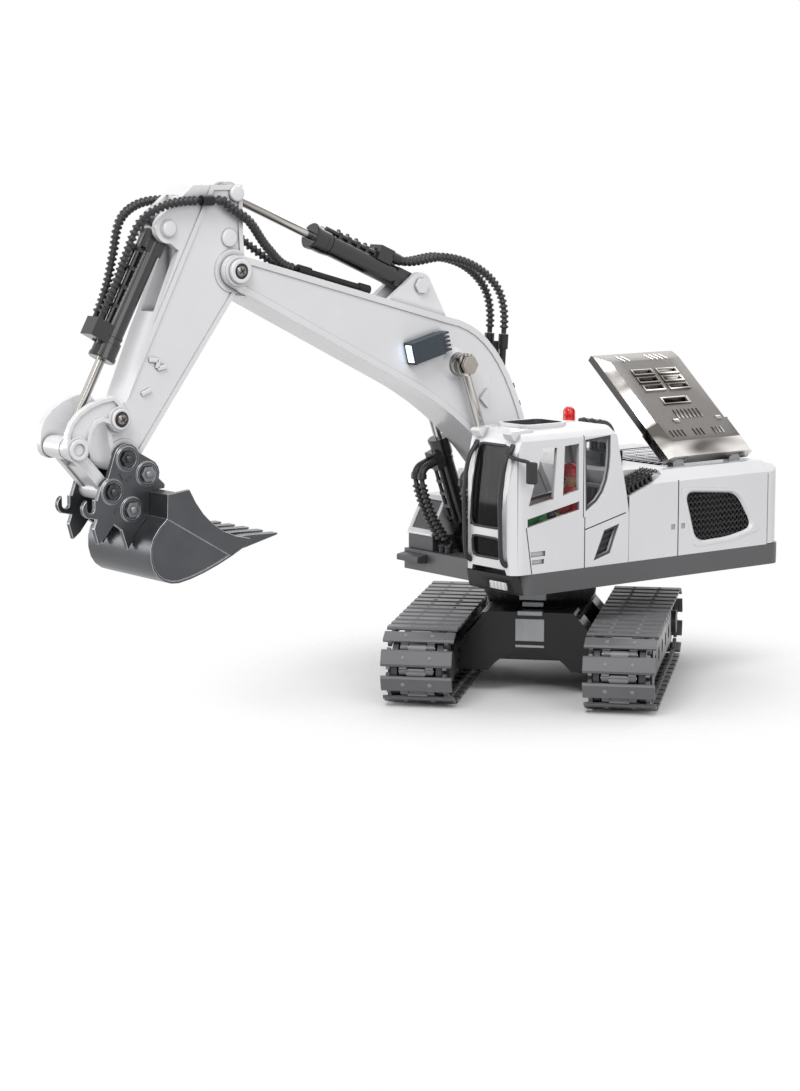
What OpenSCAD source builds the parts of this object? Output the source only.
// Radio controlled crawler excavator, posed as it stands: boom forward along +X, cab on the left (+Y),
// crawlers turned under the deck. The origin is on the ground, on the slewing axis. Millimetres.

/* [Crawlers] */
// Width of a track shoe
shoe_w = 28; // [22:0.5:34]
// Distance between two track pins
link_pitch = 9; // [8.6:0.1:10]
// Links along each straight run (odd, so that one link lies under the axis)
straight_links = 13; // [11:2:17]
// Teeth of the drive sprocket, twice the links of a half turn
sprocket_teeth = 8; // [8:2:10]
// Height of the shoe's face over the pin axis
shoe_rise = 3.2; // [3:0.1:4]
// Thickness of a track shoe
shoe_t = 1.3; // [1:0.1:1.5]
// Gap between two shoes on a straight run
shoe_gap = 2.3; // [1.6:0.1:2.6]
// Diameter of a track pin
track_pin_d = 1.6; // [1.2:0.1:1.8]
// Outer diameter of a link's knuckles
knuckle_d = 3.4; // [3:0.1:3.6]
// Distance between the middles of the two tracks
track_gauge = 79; // [74:0.5:90]
// Angle of the crawlers under the deck
track_yaw = 42; // [0:1:90]
// Diameter of the wheel axles
axle_d = 3.2; // [2.4:0.1:4]

/* [Deck and house] */
// Gap between the tracks' top and the deck's underside
deck_gap = 14.3; // [10:0.5:20]
// Height of the deck with its grey skirt
skirt_h = 8.5; // [6:0.5:12]
// Width of the deck and house
house_w = 86; // [82:0.5:96]
// Front of the deck ahead of the slewing axis
deck_front = 47; // [44:0.5:54]
// Rear of the deck behind the slewing axis
deck_rear = 97.5; // [92:0.5:110]
// Diameter of the slewing post
slew_post_d = 16; // [12:0.5:20]
// Front of the house behind the slewing axis
shell_front = 9.5; // [9.5:0.5:12]
// Joint between house and counterweight, behind the slewing axis
shell_rear = 87.5; // [84:0.5:90]
// Height of the house over the deck
shell_h = 35; // [30:0.5:42]
// Wall of the moulded shells
wall = 1.8; // [1.4:0.1:2.4]

/* [Cab] */
// Width of the cab
cab_w = 30; // [28:0.5:31]
// Height of the cab over the deck
cab_h = 57; // [50:0.5:66]
// Front of the cab ahead of the slewing axis
cab_front = 52.8; // [50:0.2:60]
// Wall of the cab
cab_wall = 1.6; // [1.2:0.1:2]

/* [Hood] */
// Length of the hood along the machine
hood_l = 46; // [40:0.5:50]
// Width of the hood across the machine
hood_w = 60; // [50:0.5:64]
// Depth of the hood's rim
hood_h = 6; // [4:0.5:8]
// Opening angle of the hood as it stands
hood_open = 40; // [0:1:70]

/* [Boom and arm] */
// Boom foot over the deck
foot_rise = 13.3; // [12:0.1:18]
// Straight distance from the boom foot to the boom tip
boom_len = 185.3; // [170:0.1:210]
// Angle of that line over the level
boom_angle = 34.9; // [30:0.1:40]
// Width of the boom
boom_w = 21; // [20:0.5:24]
// Distance from the boom tip to the bucket pivot
arm_len = 82.2; // [76:0.1:95]
// Angle of that line under the level
arm_angle = 53.6; // [45:0.1:60]
// Width of the arm
arm_w = 15; // [14:0.2:15]
// Side clearance of the moving arms
side_gap = 0.3; // [0.2:0.05:0.4]

/* [Cylinders] */
// Distance of each boom cylinder from the boom's middle plane
boom_cyl_y = 15; // [15:0.1:16]
// Diameter of the boom cylinders' barrels
boom_barrel_d = 7.2; // [6:0.1:7.4]
// Length of the boom cylinders' barrels
boom_barrel_l = 45; // [38:0.5:52]
// Diameter of the arm and bucket barrels
arm_barrel_d = 8.4; // [7:0.1:9]
// Length of the arm cylinder's barrel
arm_barrel_l = 52.5; // [46:0.5:58]
// Length of the bucket cylinder's barrel
bucket_barrel_l = 53; // [46:0.5:58]
// Diameter of the piston rods
rod_d = 3.4; // [2.6:0.1:3.8]
// Diameter of the pins in the linkage
pin_d = 2.6; // [2:0.1:3]

/* [Bucket] */
// Width of the bucket
bucket_w = 43; // [34:0.5:52]
// Plate of the bucket
bucket_t = 1.6; // [1.2:0.1:2.2]
// Thickness of the coupler's side plates
coupler_t = 2; // [1.6:0.1:2.4]
// Number of bucket teeth
bucket_teeth = 5; // [3:1:7]

/* [Hoses] */
// Outer diameter of a hose over its ribs
hose_d = 3.6; // [3:0.1:4]
// Diameter of a hose between its ribs
hose_core_d = 2.6; // [2.2:0.1:2.8]
// Bore of a hose
hose_bore_d = 1.2; // [0.8:0.1:1.4]
// Distance from rib to rib
rib_pitch = 3.2; // [2.8:0.1:4]

/* [Hidden] */
$fn = 48;
// Clearance of a running fit, all round
fit = 0.05;
// Clearance between pieces that only seat on each other
seat = 0.1;
// Greatest drift of the open pivots over the travel
boom_drift = 1.7;
arm_drift = 1.7;
rod_drift = 1.5;
link_drift = 1.1;
// Crawler geometry
track_r = link_pitch / (2 * sin(180 / sprocket_teeth));
axle_x = straight_links * link_pitch / 2;
axle_z = track_r + shoe_rise;
track_top = 2 * axle_z;
shoe_bevel = 0.7;
side_bar = [10.4, 11.9];
link_gap = 0.5;
lug_w = 6.8;
lug_gap = 0.3;
outer_lug_w = 3;
chain_half_w = lug_w / 2 + lug_gap + outer_lug_w;
wheel_in = chain_half_w + 0.9;
disc_t = 2.4;
frame_half_w = 11;
// Heights of the upper structure
deck_z = track_top + deck_gap;
deck_top = deck_z + skirt_h;
half_w = house_w / 2;
roof_z = deck_top + shell_h;
shoulder = 4.5;
// Cab
cab_left = half_w;
cab_right = half_w - cab_w;
cab_rear = -shell_front + 0.2;
cab_top = deck_top + cab_h;
// The left boom cylinder's gland passes the cab, the boom stands between the two cylinders
gland_d = boom_barrel_d + 1.2;
cyl_gap = 0.3;
boom_y = cab_right - cyl_gap - boom_cyl_y - gland_d / 2;
// Pivots in the side plane, [forward, up]
foot = [0, deck_top + foot_rise];
tip = foot + boom_len * [cos(boom_angle), sin(boom_angle)];
bucket_pivot = tip + arm_len * [cos(arm_angle), -sin(arm_angle)];
elbow = foot + [52, 85];
rod_pin = elbow + [-4, -18.5];
cyl_base = foot + [21.5, -8];
arm_cyl_base = elbow + [11, 12.5];
arm_rod_pin = tip + [-1.7, 28.3];
bucket_cyl_base = tip + [28, 16];
rocker_pin = bucket_pivot + [3.2, 14.6];
rod_link_pin = bucket_pivot + [21, 4.7];
coupler_pin = bucket_pivot + [6.5, -11.6];
// Lengths and directions of the cylinders
function span(a, b) = norm(b - a);
function tilt(a, b) = atan2(b[1] - a[1], b[0] - a[0]);
// Linkage across the arm
cheek_gap = 8.4;
rocker_t = 2.8;
rocker_in = arm_w / 2 + side_gap;
coupler_in = arm_w / 2 + 0.15;
// Hinge of the hood
hood_front = shell_front + 30.5;
hood_y = hood_w / 2;
hood_z = roof_z + 2.2;
hinge_d = 3.6;
hinge_pin_d = 1.6;

// Curves for outlines
function bez(a, b, c, d, n = 8) = [for (i = [0:n]) let (t = i / n, u = 1 - t)
    u * u * u * a + 3 * u * u * t * b + 3 * u * t * t * c + t * t * t * d];
function arc(c, r, a0, a1, n = 8) = [for (i = [0:n]) let (a = a0 + (a1 - a0) * i / n)
    c + r * [cos(a), sin(a)]];

// Stands an outline drawn in [forward, up] upright, w wide about the plane y
module side(w, y = 0) translate([0, y + w / 2, 0]) rotate([90, 0, 0]) linear_extrude(w) children();
// Extrudes an outline drawn in [left, up] along X from x0 to x1
module lengthwise(x0, x1) translate([x0, 0, 0]) rotate([90, 0, 90]) linear_extrude(x1 - x0) children();
// Round bar across the machine at the point p of the side plane
module cross_bar(p, d, w, y = 0) translate([p[0], y, p[1]]) rotate([90, 0, 0])
    cylinder(d = d, h = w, center = true);
// Hexagon head across the machine, its face towards +Y
module hex_head(p, af, h, y) translate([p[0], y, p[1]]) rotate([-90, 0, 0])
    cylinder(d = af / cos(30), h = h, $fn = 6);
// Box with rounded vertical edges
module pad(l, w, h, r) linear_extrude(h) rounded(l, w, r);
module rounded(l, w, r) {
    square([l - 2 * r, w], center = true);
    square([l, w - 2 * r], center = true);
    for (x = [-1, 1], y = [-1, 1]) translate([x * (l / 2 - r), y * (w / 2 - r)]) circle(r);
}
// Round bar bent along the points p
module bar(p, d, sides) {
    m = len(p);
    e = (m - 1) * sides;
    polyhedron(flat([for (i = [0:m - 1]) ring(p[i], p[min(i + 1, m - 1)] - p[max(i - 1, 0)], d / 2,
        sides)]), concat(
        flat([for (i = [0:m - 2], k = [0:sides - 1])
            let (a = i * sides + k, b = i * sides + (k + 1) % sides)
            [[a, a + sides, b + sides], [a, b + sides, b]]]),
        flat([for (k = [1:sides - 2]) [[0, k, k + 1], [e, e + k + 1, e + k]]])));
}
// Points along +X at a pivot of the side plane
module aim(p, a, y) translate([p[0], y, p[1]]) rotate([0, -a, 0]) children();
module along_x(d, x0, x1) translate([x0, 0, 0]) rotate([0, 90, 0]) cylinder(d = d, h = x1 - x0);

// Crawlers, turned about the slewing axis
module crawler(s = 0) rotate([0, 0, track_yaw]) translate([0, s * track_gauge / 2, 0]) children();

// Link from its pin at the origin to the next one along +X, the shoe's face towards +Z
module track_link() {
    shoe_z = shoe_rise - shoe_t;
    shoe_x = [shoe_gap / 2, link_pitch - shoe_gap / 2];
    lug_h = shoe_z + 0.4;
    difference() {
        union() {
            rotate([90, 0, 0]) linear_extrude(shoe_w, center = true) polygon([[shoe_x[0], shoe_z],
                [shoe_x[0], shoe_rise - shoe_bevel], [shoe_x[0] + shoe_bevel, shoe_rise],
                [shoe_x[1] - shoe_bevel, shoe_rise], [shoe_x[1], shoe_rise - shoe_bevel],
                    [shoe_x[1], shoe_z]]);
            rotate([90, 0, 0]) cylinder(d = knuckle_d, h = lug_w, center = true);
            translate([0.3, -lug_w / 2, -0.2]) cube([shoe_x[0] + 1.2, lug_w, lug_h]);
            for (y = [-1, 1]) {
                translate([link_pitch, y * (lug_w / 2 + lug_gap + outer_lug_w / 2), 0]) {
                    rotate([90, 0, 0]) cylinder(d = knuckle_d, h = outer_lug_w, center = true);
                    translate([-shoe_gap / 2 - 1.5, -outer_lug_w / 2, -0.2])
                        cube([shoe_gap / 2 + 1.2, outer_lug_w, lug_h]);
                }
                translate([link_gap / 2, y > 0 ? side_bar[0] : -side_bar[1], 0.1])
                    cube([link_pitch - link_gap, side_bar[1] - side_bar[0], lug_h - 0.1]);
            }
        }
        for (x = [0, link_pitch]) translate([x, 0, 0]) rotate([90, 0, 0])
            cylinder(d = track_pin_d + 2 * fit, h = shoe_w, center = true);
    }
}
// Places on the chain: along the bottom, round the front, along the top, round the rear
half_turn = sprocket_teeth / 2;
chain = concat(
    [for (i = [0:straight_links - 1]) [axle_x - i * link_pitch, -track_r, 180]],
    [for (i = [0:half_turn - 1]) let (a = 270 - i * 360 / sprocket_teeth)
        [-axle_x + track_r * cos(a), track_r * sin(a), 180 - (i + 0.5) * 360 / sprocket_teeth]],
    [for (i = [0:straight_links - 1]) [-axle_x + i * link_pitch, track_r, 0]],
    [for (i = [0:half_turn - 1]) let (a = 90 - i * 360 / sprocket_teeth)
        [axle_x + track_r * cos(a), track_r * sin(a), -(i + 0.5) * 360 / sprocket_teeth]]);
module at_link(c) translate([c[0], 0, axle_z + c[1]]) rotate([0, -c[2], 0]) children();
module track_links(s) color("#2b2b2d") crawler(s) for (c = chain) at_link(c) track_link();
module track_links_left() track_links(1);
module track_links_right() track_links(-1);
module track_pins() color("#8b8d90") for (s = [-1, 1]) crawler(s) for (c = chain) at_link(c)
    rotate([90, 0, 0]) cylinder(d = track_pin_d, h = 2 * chain_half_w + 0.4, center = true);

// Track frame: beam with moulded rollers and a tongue to each axle
roller_d = 6.4;
roller_z = shoe_rise + knuckle_d / 2 + 0.3 + roller_d / 2;
beam_x = axle_x - track_r - 1;
beam_z = [roller_z + 0.2, track_top - shoe_rise - knuckle_d / 2 - 3.8];
tongue_r = 4.4;
module track_frame(s) color("#232325") crawler(s) difference() {
    union() {
        translate([-beam_x, -frame_half_w, beam_z[0]])
            cube([2 * beam_x, 2 * frame_half_w, beam_z[1] - beam_z[0]]);
        for (x = [-1, 1]) {
            translate([x * (axle_x + beam_x - 1) / 2, 0, axle_z])
                cube([axle_x - beam_x + 1, 2 * wheel_in - 4.4, 2 * tongue_r], center = true);
            translate([x * axle_x, 0, axle_z]) rotate([90, 0, 0])
                cylinder(r = tongue_r, h = 2 * wheel_in - 4.4, center = true);
        }
        for (i = [-3:3]) translate([i * beam_x / 3.5, 0, roller_z]) rotate([90, 0, 0])
            cylinder(d = roller_d, h = 2 * chain_half_w, center = true);
        for (i = [-1, 1]) translate([i * beam_x / 2, 0, beam_z[1]]) rotate([90, 0, 0])
            cylinder(d = 6.6, h = lug_w, center = true);
    }
    for (x = [-1, 1]) translate([x * axle_x, 0, axle_z]) rotate([90, 0, 0])
        cylinder(d = axle_d + 2 * fit, h = shoe_w, center = true);
    for (i = [-2:2], y = [-1, 1]) translate([i * beam_x / 2.75, y * (frame_half_w + 0.01),
        (beam_z[0] + beam_z[1]) / 2])
        rotate([90, 0, 0]) cylinder(d = 6, h = 2, center = true);
}
module track_frame_left() track_frame(1);
module track_frame_right() track_frame(-1);

// Wheels: two discs on an axle that runs in the frame's tongue
module wheel_axle() rotate([90, 0, 0]) cylinder(d = axle_d, h = 2 * (wheel_in + disc_t), center = true);
module wheel_discs(r) for (y = [-1, 1]) translate([0, y * (wheel_in + disc_t / 2), 0])
    rotate([90, 0, 0]) {
    cylinder(r = r, h = disc_t, center = true);
    translate([0, 0, -y * disc_t]) cylinder(r = r * 0.5, h = disc_t, center = true);
    translate([0, 0, y * (disc_t / 2 + 0.55)]) cylinder(r = tongue_r, h = 2.7, center = true);
}
tooth_r = track_r * cos(180 / sprocket_teeth) + shoe_rise - shoe_t - 0.5;
module sprocket(s) color("#3a3a3c") crawler(s) translate([-axle_x, 0, axle_z]) {
    wheel_axle();
    difference() {
        wheel_discs(track_r - 2);
        for (i = [0:5]) rotate([0, 60 * i, 0]) translate([6.6, 0, 0]) rotate([90, 0, 0])
            cylinder(d = 2.4, h = shoe_w, center = true);
    }
    for (i = [0:sprocket_teeth - 1], y = [-1, 1]) rotate([0, 360 / sprocket_teeth * (i + 0.5), 0])
        translate([0, y * (wheel_in + disc_t / 2), 0]) rotate([90, 0, 0])
            linear_extrude(disc_t - 0.4, center = true)
            polygon([[track_r - 3, -2.2], [tooth_r, -0.9], [tooth_r, 0.9], [track_r - 3, 2.2]]);
}
module sprocket_left() sprocket(1);
module sprocket_right() sprocket(-1);
module idler(s) color("#3a3a3c") crawler(s) translate([axle_x, 0, axle_z]) {
    wheel_axle();
    difference() {
        wheel_discs(tooth_r);
        for (y = [-1, 1]) translate([0, y * (wheel_in + disc_t), 0]) rotate([90, 0, 0]) difference() {
            cylinder(r = tooth_r - 2, h = 1.2, center = true);
            cylinder(r = tongue_r + 1.4, h = 2, center = true);
        }
    }
}
module idler_left() idler(1);
module idler_right() idler(-1);

// Centre frame: two arched beams, a box for the motors and the slewing turntable
frame_w = track_gauge - 2 * frame_half_w;
box_l = 58;
box_w = 40;
box_z = [14, axle_z * 2 + 2];
beam_y = frame_w / 2;
turntable_d = 46;
module arch() difference() {
    polygon([[-beam_y, 9], [-beam_y, 20], [-beam_y + 11, box_z[1] + 1], [beam_y - 11, box_z[1] + 1],
        [beam_y, 20], [beam_y, 9]]);
    translate([0, -3]) circle(beam_y - 8);
}
module chassis_frame() color("#232325") crawler() difference() {
    union() {
        for (x = [-1, 1]) translate([x * 24, 0, 0]) lengthwise(-8, 8) arch();
        translate([-box_l / 2, -box_w / 2, box_z[0]]) cube([box_l, box_w, box_z[1] - box_z[0]]);
        translate([0, 0, box_z[1] - 1]) cylinder(d1 = box_w, d2 = turntable_d, h = 6);
        translate([0, 0, box_z[1] + 5]) cylinder(d = turntable_d, h = deck_z - 0.4 - box_z[1] - 5);
        translate([0, 0, deck_z - 1]) cylinder(d = slew_post_d, h = skirt_h - 0.6);
    }
    translate([-box_l / 2 + 3, -box_w / 2 + 3, box_z[0] - 6])
        cube([box_l - 6, box_w - 6, box_z[1] - box_z[0] + 4]);
}
module belly_cover() color("#1d1d1f") crawler() difference() {
    translate([0, 0, box_z[0] - 1.6]) pad(box_l - 6.2, box_w - 6.2, 1.6, 3);
    for (x = [-1, 1], y = [-1, 1]) translate([x * (box_l / 2 - 10), y * (box_w / 2 - 8), box_z[0] - 2])
        cylinder(d = 2.2, h = 3);
}
motor_d = 12;
module drive_motors() color("#9a9c9f") crawler() for (x = [-1, 1])
    translate([x * box_l / 4, 0, box_z[0] + motor_d / 2]) {
    rotate([90, 0, 0]) intersection() {
        cylinder(d = motor_d, h = 22, center = true);
        cube([motor_d - 2, motor_d, 22], center = true);
    }
    rotate([90, 0, 0]) cylinder(d = 1.6, h = 28, center = true);
}

// Deck: slab with the grey skirt, drawn in at the bottom of its front and rear
deck_r = 7;
front_right = deck_front - 10;
module deck_plan() difference() {
    translate([(deck_front - deck_rear) / 2, 0]) rounded(deck_front + deck_rear, house_w, deck_r);
    translate([front_right, -half_w - 1]) square([30, half_w + cab_right]);
}
module deck() color("#6d6d6d") difference() {
    intersection() {
        translate([0, 0, deck_z]) linear_extrude(skirt_h) deck_plan();
        side(house_w + 2) polygon([[deck_front - 2.5, deck_z], [deck_front, deck_top],
            [-deck_rear, deck_top],
            [-deck_rear + 3.2, deck_z]]);
    }
    translate([0, 0, deck_z - 1]) cylinder(d = slew_post_d + 2 * fit, h = skirt_h + 2);
    translate([0, 0, deck_z - 1]) cylinder(d = turntable_d - 6, h = 1.6);
}
// Dark skirt under the cab's front, with the lamp's pocket
skirt_x = deck_front + 0.3;
module front_skirt() color("#1b1b1d") difference() {
    side(cab_w - 2, cab_right + cab_w / 2)
        polygon([[skirt_x - 2.5, deck_z + 0.4], [skirt_x + 2, deck_z + 1.4],
        [cab_front - 2, deck_top - 0.3], [skirt_x, deck_top - 0.3]]);
    translate([cab_front - 4.4, cab_right + 14, deck_z + 3.4]) rotate([0, 40, 0]) cube([4, 11, 3]);
}

// House: moulded shell with shoulders, opening under the hood, recesses for the grilles
plate_x = [-shell_rear + 3, -hood_front - 1];
plate_w = hood_w - 8;
module house_section(inset) polygon([[-half_w + inset, deck_top], [half_w - inset, deck_top],
    [half_w - inset, roof_z - shoulder], [half_w - shoulder, roof_z - inset],
        [-half_w + shoulder, roof_z - inset],
    [-half_w + inset, roof_z - shoulder]]);
grille = [[-40.6, 25.8], [-70, 23.2], [-80, 8], [-66, 5.2], [-47.2, 4.6]];
grille_mid = [-58, 15];
module grille_outline() translate([0, deck_top]) polygon(grille);
module grille_frame() translate([grille_mid[0], deck_top + grille_mid[1]]) scale(1.14)
    translate(-grille_mid) polygon(grille);
// Notch behind the cab, where the engine draws its air
intake = [[-shell_front + 1, roof_z - 9], [-shell_front - 20, roof_z - 1.6],
    [-shell_front - 20, roof_z + 1],
    [-shell_front + 1, roof_z + 1]];
intake_w = 13;
door_line = -shell_front - 27;
module house_shell() color("#f4f4f5") difference() {
    union() {
        difference() {
            lengthwise(-shell_rear, -shell_front) house_section(0);
            lengthwise(-shell_rear + wall, -shell_front - wall) house_section(wall);
        }
        intersection() {
            lengthwise(-shell_rear, -shell_front) house_section(0);
            side(intake_w + wall, half_w - (intake_w + wall) / 2) offset(delta = wall) polygon(intake);
        }
        for (x = [-hood_front - 10, -hood_front - hood_l + 4]) {
            translate([x, hood_y, hood_z]) along_x(hinge_d, 0, 6);
            translate([x, hood_y - hinge_d / 2, roof_z - wall])
                cube([6, hinge_d, hood_z - roof_z + wall]);
        }
    }
    side(intake_w + 1, half_w - intake_w / 2 + 0.5) polygon(intake);
    translate([plate_x[0], -plate_w / 2, roof_z - wall - 1])
        cube([plate_x[1] - plate_x[0], plate_w, wall + 2]);
    for (y = [-1, 1]) {
        side(1.2, y * half_w) grille_frame();
        side(10, y * half_w) grille_outline();
        translate([door_line, y * half_w, deck_top + shell_h / 2])
            cube([0.6, 0.8, shell_h + 2], center = true);
        for (x = [-1, 1]) translate([door_line + x * 2.8, y * half_w, deck_top + 12])
            cube([2.2, 0.8, 2.2], center = true);
    }
    translate([-hood_front - hood_l, hood_y, hood_z]) along_x(hinge_pin_d + 2 * seat, -2, hood_l + 4);
}
// Inserts: woven grille on each side, louvre slats in the cab's rear panel
louvre = [[3.9, 14], [-4.2, 16], [0.6, 4.5], [9.4, 2.3]];
module louvre_outline() translate([0, deck_top]) polygon(louvre);
module side_grilles() color("#1c1c1e") {
    for (y = [-1, 1]) difference() {
        side(1.2, y * (half_w - wall - 0.6)) grille_frame();
        for (i = [-9:9], k = [-4:4])
            translate([grille_mid[0] + 2.2 * i, y * (half_w - wall), deck_top + grille_mid[1] + 2.4 * k])
                cube([1.3, 1, 1.5], center = true);
    }
    difference() {
        side(1, cab_left - cab_wall - 0.5) offset(delta = 1) louvre_outline();
        for (i = [0:3]) translate([2.6 - i, cab_left - cab_wall, deck_top + 5.6 + 2.6 * i])
            rotate([0, 12, 0]) cube([6.5, 1, 1.1], center = true);
    }
    for (i = [0:5]) translate([-shell_front - 1.5 - 2.4 * i, half_w - 6, roof_z - 7.7 + 0.86 * i])
        rotate([0, 20, 0]) translate([0, 0, 1.2]) cube([1.1, 9, 2.6], center = true);
}
// Counterweight: solid block with a rounded rear
module counterweight() color("#f4f4f5") intersection() {
    lengthwise(-deck_rear + 0.4, -shell_rear - seat) house_section(0.2);
    translate([0, 0, deck_top]) linear_extrude(shell_h) translate([(deck_front - deck_rear) / 2, 0])
        rounded(deck_front + deck_rear, house_w, deck_r + 2);
    side(house_w) polygon([[-shell_rear, deck_top], [-shell_rear, roof_z], [-deck_rear + 5, roof_z - 1.5],
        [-deck_rear, roof_z - 8], [-deck_rear, deck_top]]);
}
// Right front: fuel tank, tool box with a slanted lid, step
tank_w = half_w + boom_y - boom_cyl_y - gland_d / 2 - 1.3;
tank_y = -half_w + tank_w / 2;
box_x = [12, front_right - 1.5];
lid = [[box_x[1], deck_top + 7], [box_x[1] - 8, deck_top + 22]];
lid_rim = 2;
lid_l = span(lid[0], lid[1]) - 2 * lid_rim;
module tool_box() {
    color("#f4f4f5") side(tank_w, tank_y) polygon([[-shell_front + seat, deck_top], [box_x[0], deck_top],
        [box_x[0], deck_top + 26], [box_x[0] - 4, roof_z - 4], [-shell_front + seat, roof_z - 4]]);
    color("#f4f4f5") difference() {
        side(tank_w, tank_y) polygon([[box_x[0] + seat, deck_top + 6], [box_x[1], deck_top + 6], lid[0],
            lid[1],
            [box_x[0] + seat, deck_top + 22]]);
        translate([lid[0][0], tank_y, lid[0][1]]) rotate([0, -tilt(lid[0], lid[1]), 0])
            translate([lid_rim, -tank_w / 2 + lid_rim, -1]) cube([lid_l, tank_w - 2 * lid_rim, 2]);
    }
    color("#4a4b4d") {
        translate([lid[0][0], tank_y, lid[0][1]]) rotate([0, -tilt(lid[0], lid[1]), 0])
            translate([lid_rim + seat, -tank_w / 2 + lid_rim + seat, 0.3])
                cube([lid_l - 2 * seat, tank_w - 2 * lid_rim - 2 * seat, 0.6]);
        side(tank_w, tank_y) polygon([[box_x[0] + seat, deck_top], [box_x[1] - 0.6, deck_top],
            [box_x[1] - 0.6, deck_top + 5.9], [box_x[0] + seat, deck_top + 5.9]]);
    }
    color("#2a2a2c") side(tank_w - 2, tank_y)
        polygon([[front_right + seat, deck_top - 5], [front_right + 5, deck_top - 4.4],
        [front_right + 5, deck_top - 2], [front_right + seat, deck_top - 1.2]]);
}
// Pump block behind the cab, where the hose bundle ends, and the beacon's mast
pump = [-shell_front - 16, 8];
module pump_block() color("#2c2c2e") translate([pump[0], pump[1], roof_z]) {
    pad(12, 16, 6, 2);
    for (y = [-5, 0, 5]) translate([-1, y, 5]) cylinder(d = 4.2, h = 4);
}
mast = [-shell_front - 18, -14];
beacon_z = roof_z + 15;
module beacon() translate([mast[0], mast[1], 0]) {
    color("#2c2c2e") translate([0, 0, roof_z]) cylinder(d1 = 6, d2 = 4, h = 15);
    color("#d81e22") translate([0, 0, beacon_z]) {
        cylinder(d = 5.2, h = 4.4);
        translate([0, 0, 4.4]) sphere(d = 5.2);
    }
}
// Bright ribbed plate in the opening under the hood
module mesh_plate() color("#b9bbbe") {
    l = plate_x[1] - plate_x[0] - 2 * seat;
    translate([(plate_x[0] + plate_x[1]) / 2, 0, roof_z - wall]) {
        cube([l, plate_w - 2 * seat, wall], center = true);
        for (i = [-5:5]) translate([0, i * 4.2, wall / 2]) rotate([0, 90, 0])
            cylinder(d = 2.4, h = l - 4, center = true);
    }
}
// Inside the house
module battery_pack() color("#3d5a80") translate([-62, 0, deck_top]) pad(36, 44, 18, 2);
module control_board() color("#2d6b3f") translate([-shell_front - 16.5, -half_w + 19, deck_top]) {
    translate([-12, -8, 0]) cube([24, 16, 1.6]);
    for (i = [0:3]) translate([-9 + 5 * i, -4, 1.6]) cube([3, 5, 2]);
}
module slew_motor() color("#9a9c9f") translate([-26, 16, deck_top]) {
    cylinder(d = 16, h = 6);
    translate([0, 0, 6]) cylinder(d = 12, h = 18);
}

// Boom foot bracket on the deck, with the cylinders' feet
foot_pin_d = 4;
foot_r = 8;
cheek_t = 2.2;
bracket_y = boom_w / 2 + side_gap;
module boom_bracket() color("#3a3a3c") difference() {
    for (s = [-1, 1]) side(cheek_t, boom_y + s * (bracket_y + cheek_t / 2)) polygon(concat(
        [[foot[0] - 8.4, deck_top], [cyl_base[0] + 6, deck_top]], arc(cyl_base, 4.6, -10, 70, 4),
        arc(foot, 6, 60, 170, 6)));
    cross_bar(foot, foot_pin_d + 2 * seat, house_w, boom_y);
    cross_bar(cyl_base, pin_d + 2 * seat, house_w, boom_y);
}
module house_pins() color("#8b8d90") {
    cross_bar(foot, foot_pin_d, 2 * (bracket_y + cheek_t) + 1, boom_y);
    for (s = [-1, 1]) cross_bar(cyl_base, pin_d, boom_cyl_y + boom_barrel_d / 2 - bracket_y + 0.4,
        boom_y + s * (bracket_y + boom_cyl_y + boom_barrel_d / 2 + 0.4) / 2);
    translate([-hood_front - hood_l, hood_y, hood_z]) along_x(hinge_pin_d, 1, hood_l - 1);
}

// Cab
cab_mid = (cab_left + cab_right) / 2;
module cab_profile() polygon(concat([[cab_rear, deck_top], [cab_front - 2.2, deck_top]],
    bez([cab_front - 2.2, deck_top], [cab_front, deck_top + 12], [cab_front + 1, deck_top + 36],
        [cab_front - 6, cab_top - 4], 8),
    [[cab_front - 8, cab_top - 0.8], [20, cab_top], [0, cab_top - 1.5], [-2.6, cab_top - 6],
        [cab_rear + 1.2, deck_top + 27],
    [cab_rear, deck_top + 20]]));
module cab_front_view(inset) polygon([[cab_right + inset, deck_top - 1], [cab_left - inset, deck_top - 1],
    [cab_left - inset, cab_top - 5], [cab_left - 2.5 - inset, cab_top - 2.2 - inset],
        [cab_left - 8, cab_top - inset],
    [cab_right + 8, cab_top - inset], [cab_right + 2.5 + inset, cab_top - 2.2 - inset],
        [cab_right + inset, cab_top - 5]]);
module cab_plan(inset) translate([(cab_front + cab_rear) / 2 - 6, cab_mid])
    rounded(cab_front - cab_rear + 12 - 2 * inset, cab_w - 2 * inset, 7 - inset);
module cab_solid(inset) intersection() {
    side(cab_w, cab_mid) offset(delta = -inset) cab_profile();
    lengthwise(cab_rear - 1, cab_front + 2) cab_front_view(inset);
    translate([0, 0, deck_top - 2]) linear_extrude(cab_h + 4) cab_plan(inset);
}
door_pane = [[43.3, 26.7], [36.1, 49], [28.9, 48.6], [30.6, 28.6]];
door_pane2 = [[25, 49], [17.6, 49.5], [17.6, 31.2], [25.8, 29.5]];
door_low = [[43.9, 21.7], [17.2, 26.7], [17.2, 23.4], [43.9, 18.4]];
rear_pane = concat([[13.3, 49.7], [2, 50.6]], bez([2, 50.6], [1.6, 38], [3, 28], [12.8, 24.2], 6));
module at_deck() translate([0, deck_top]) children();
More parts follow.
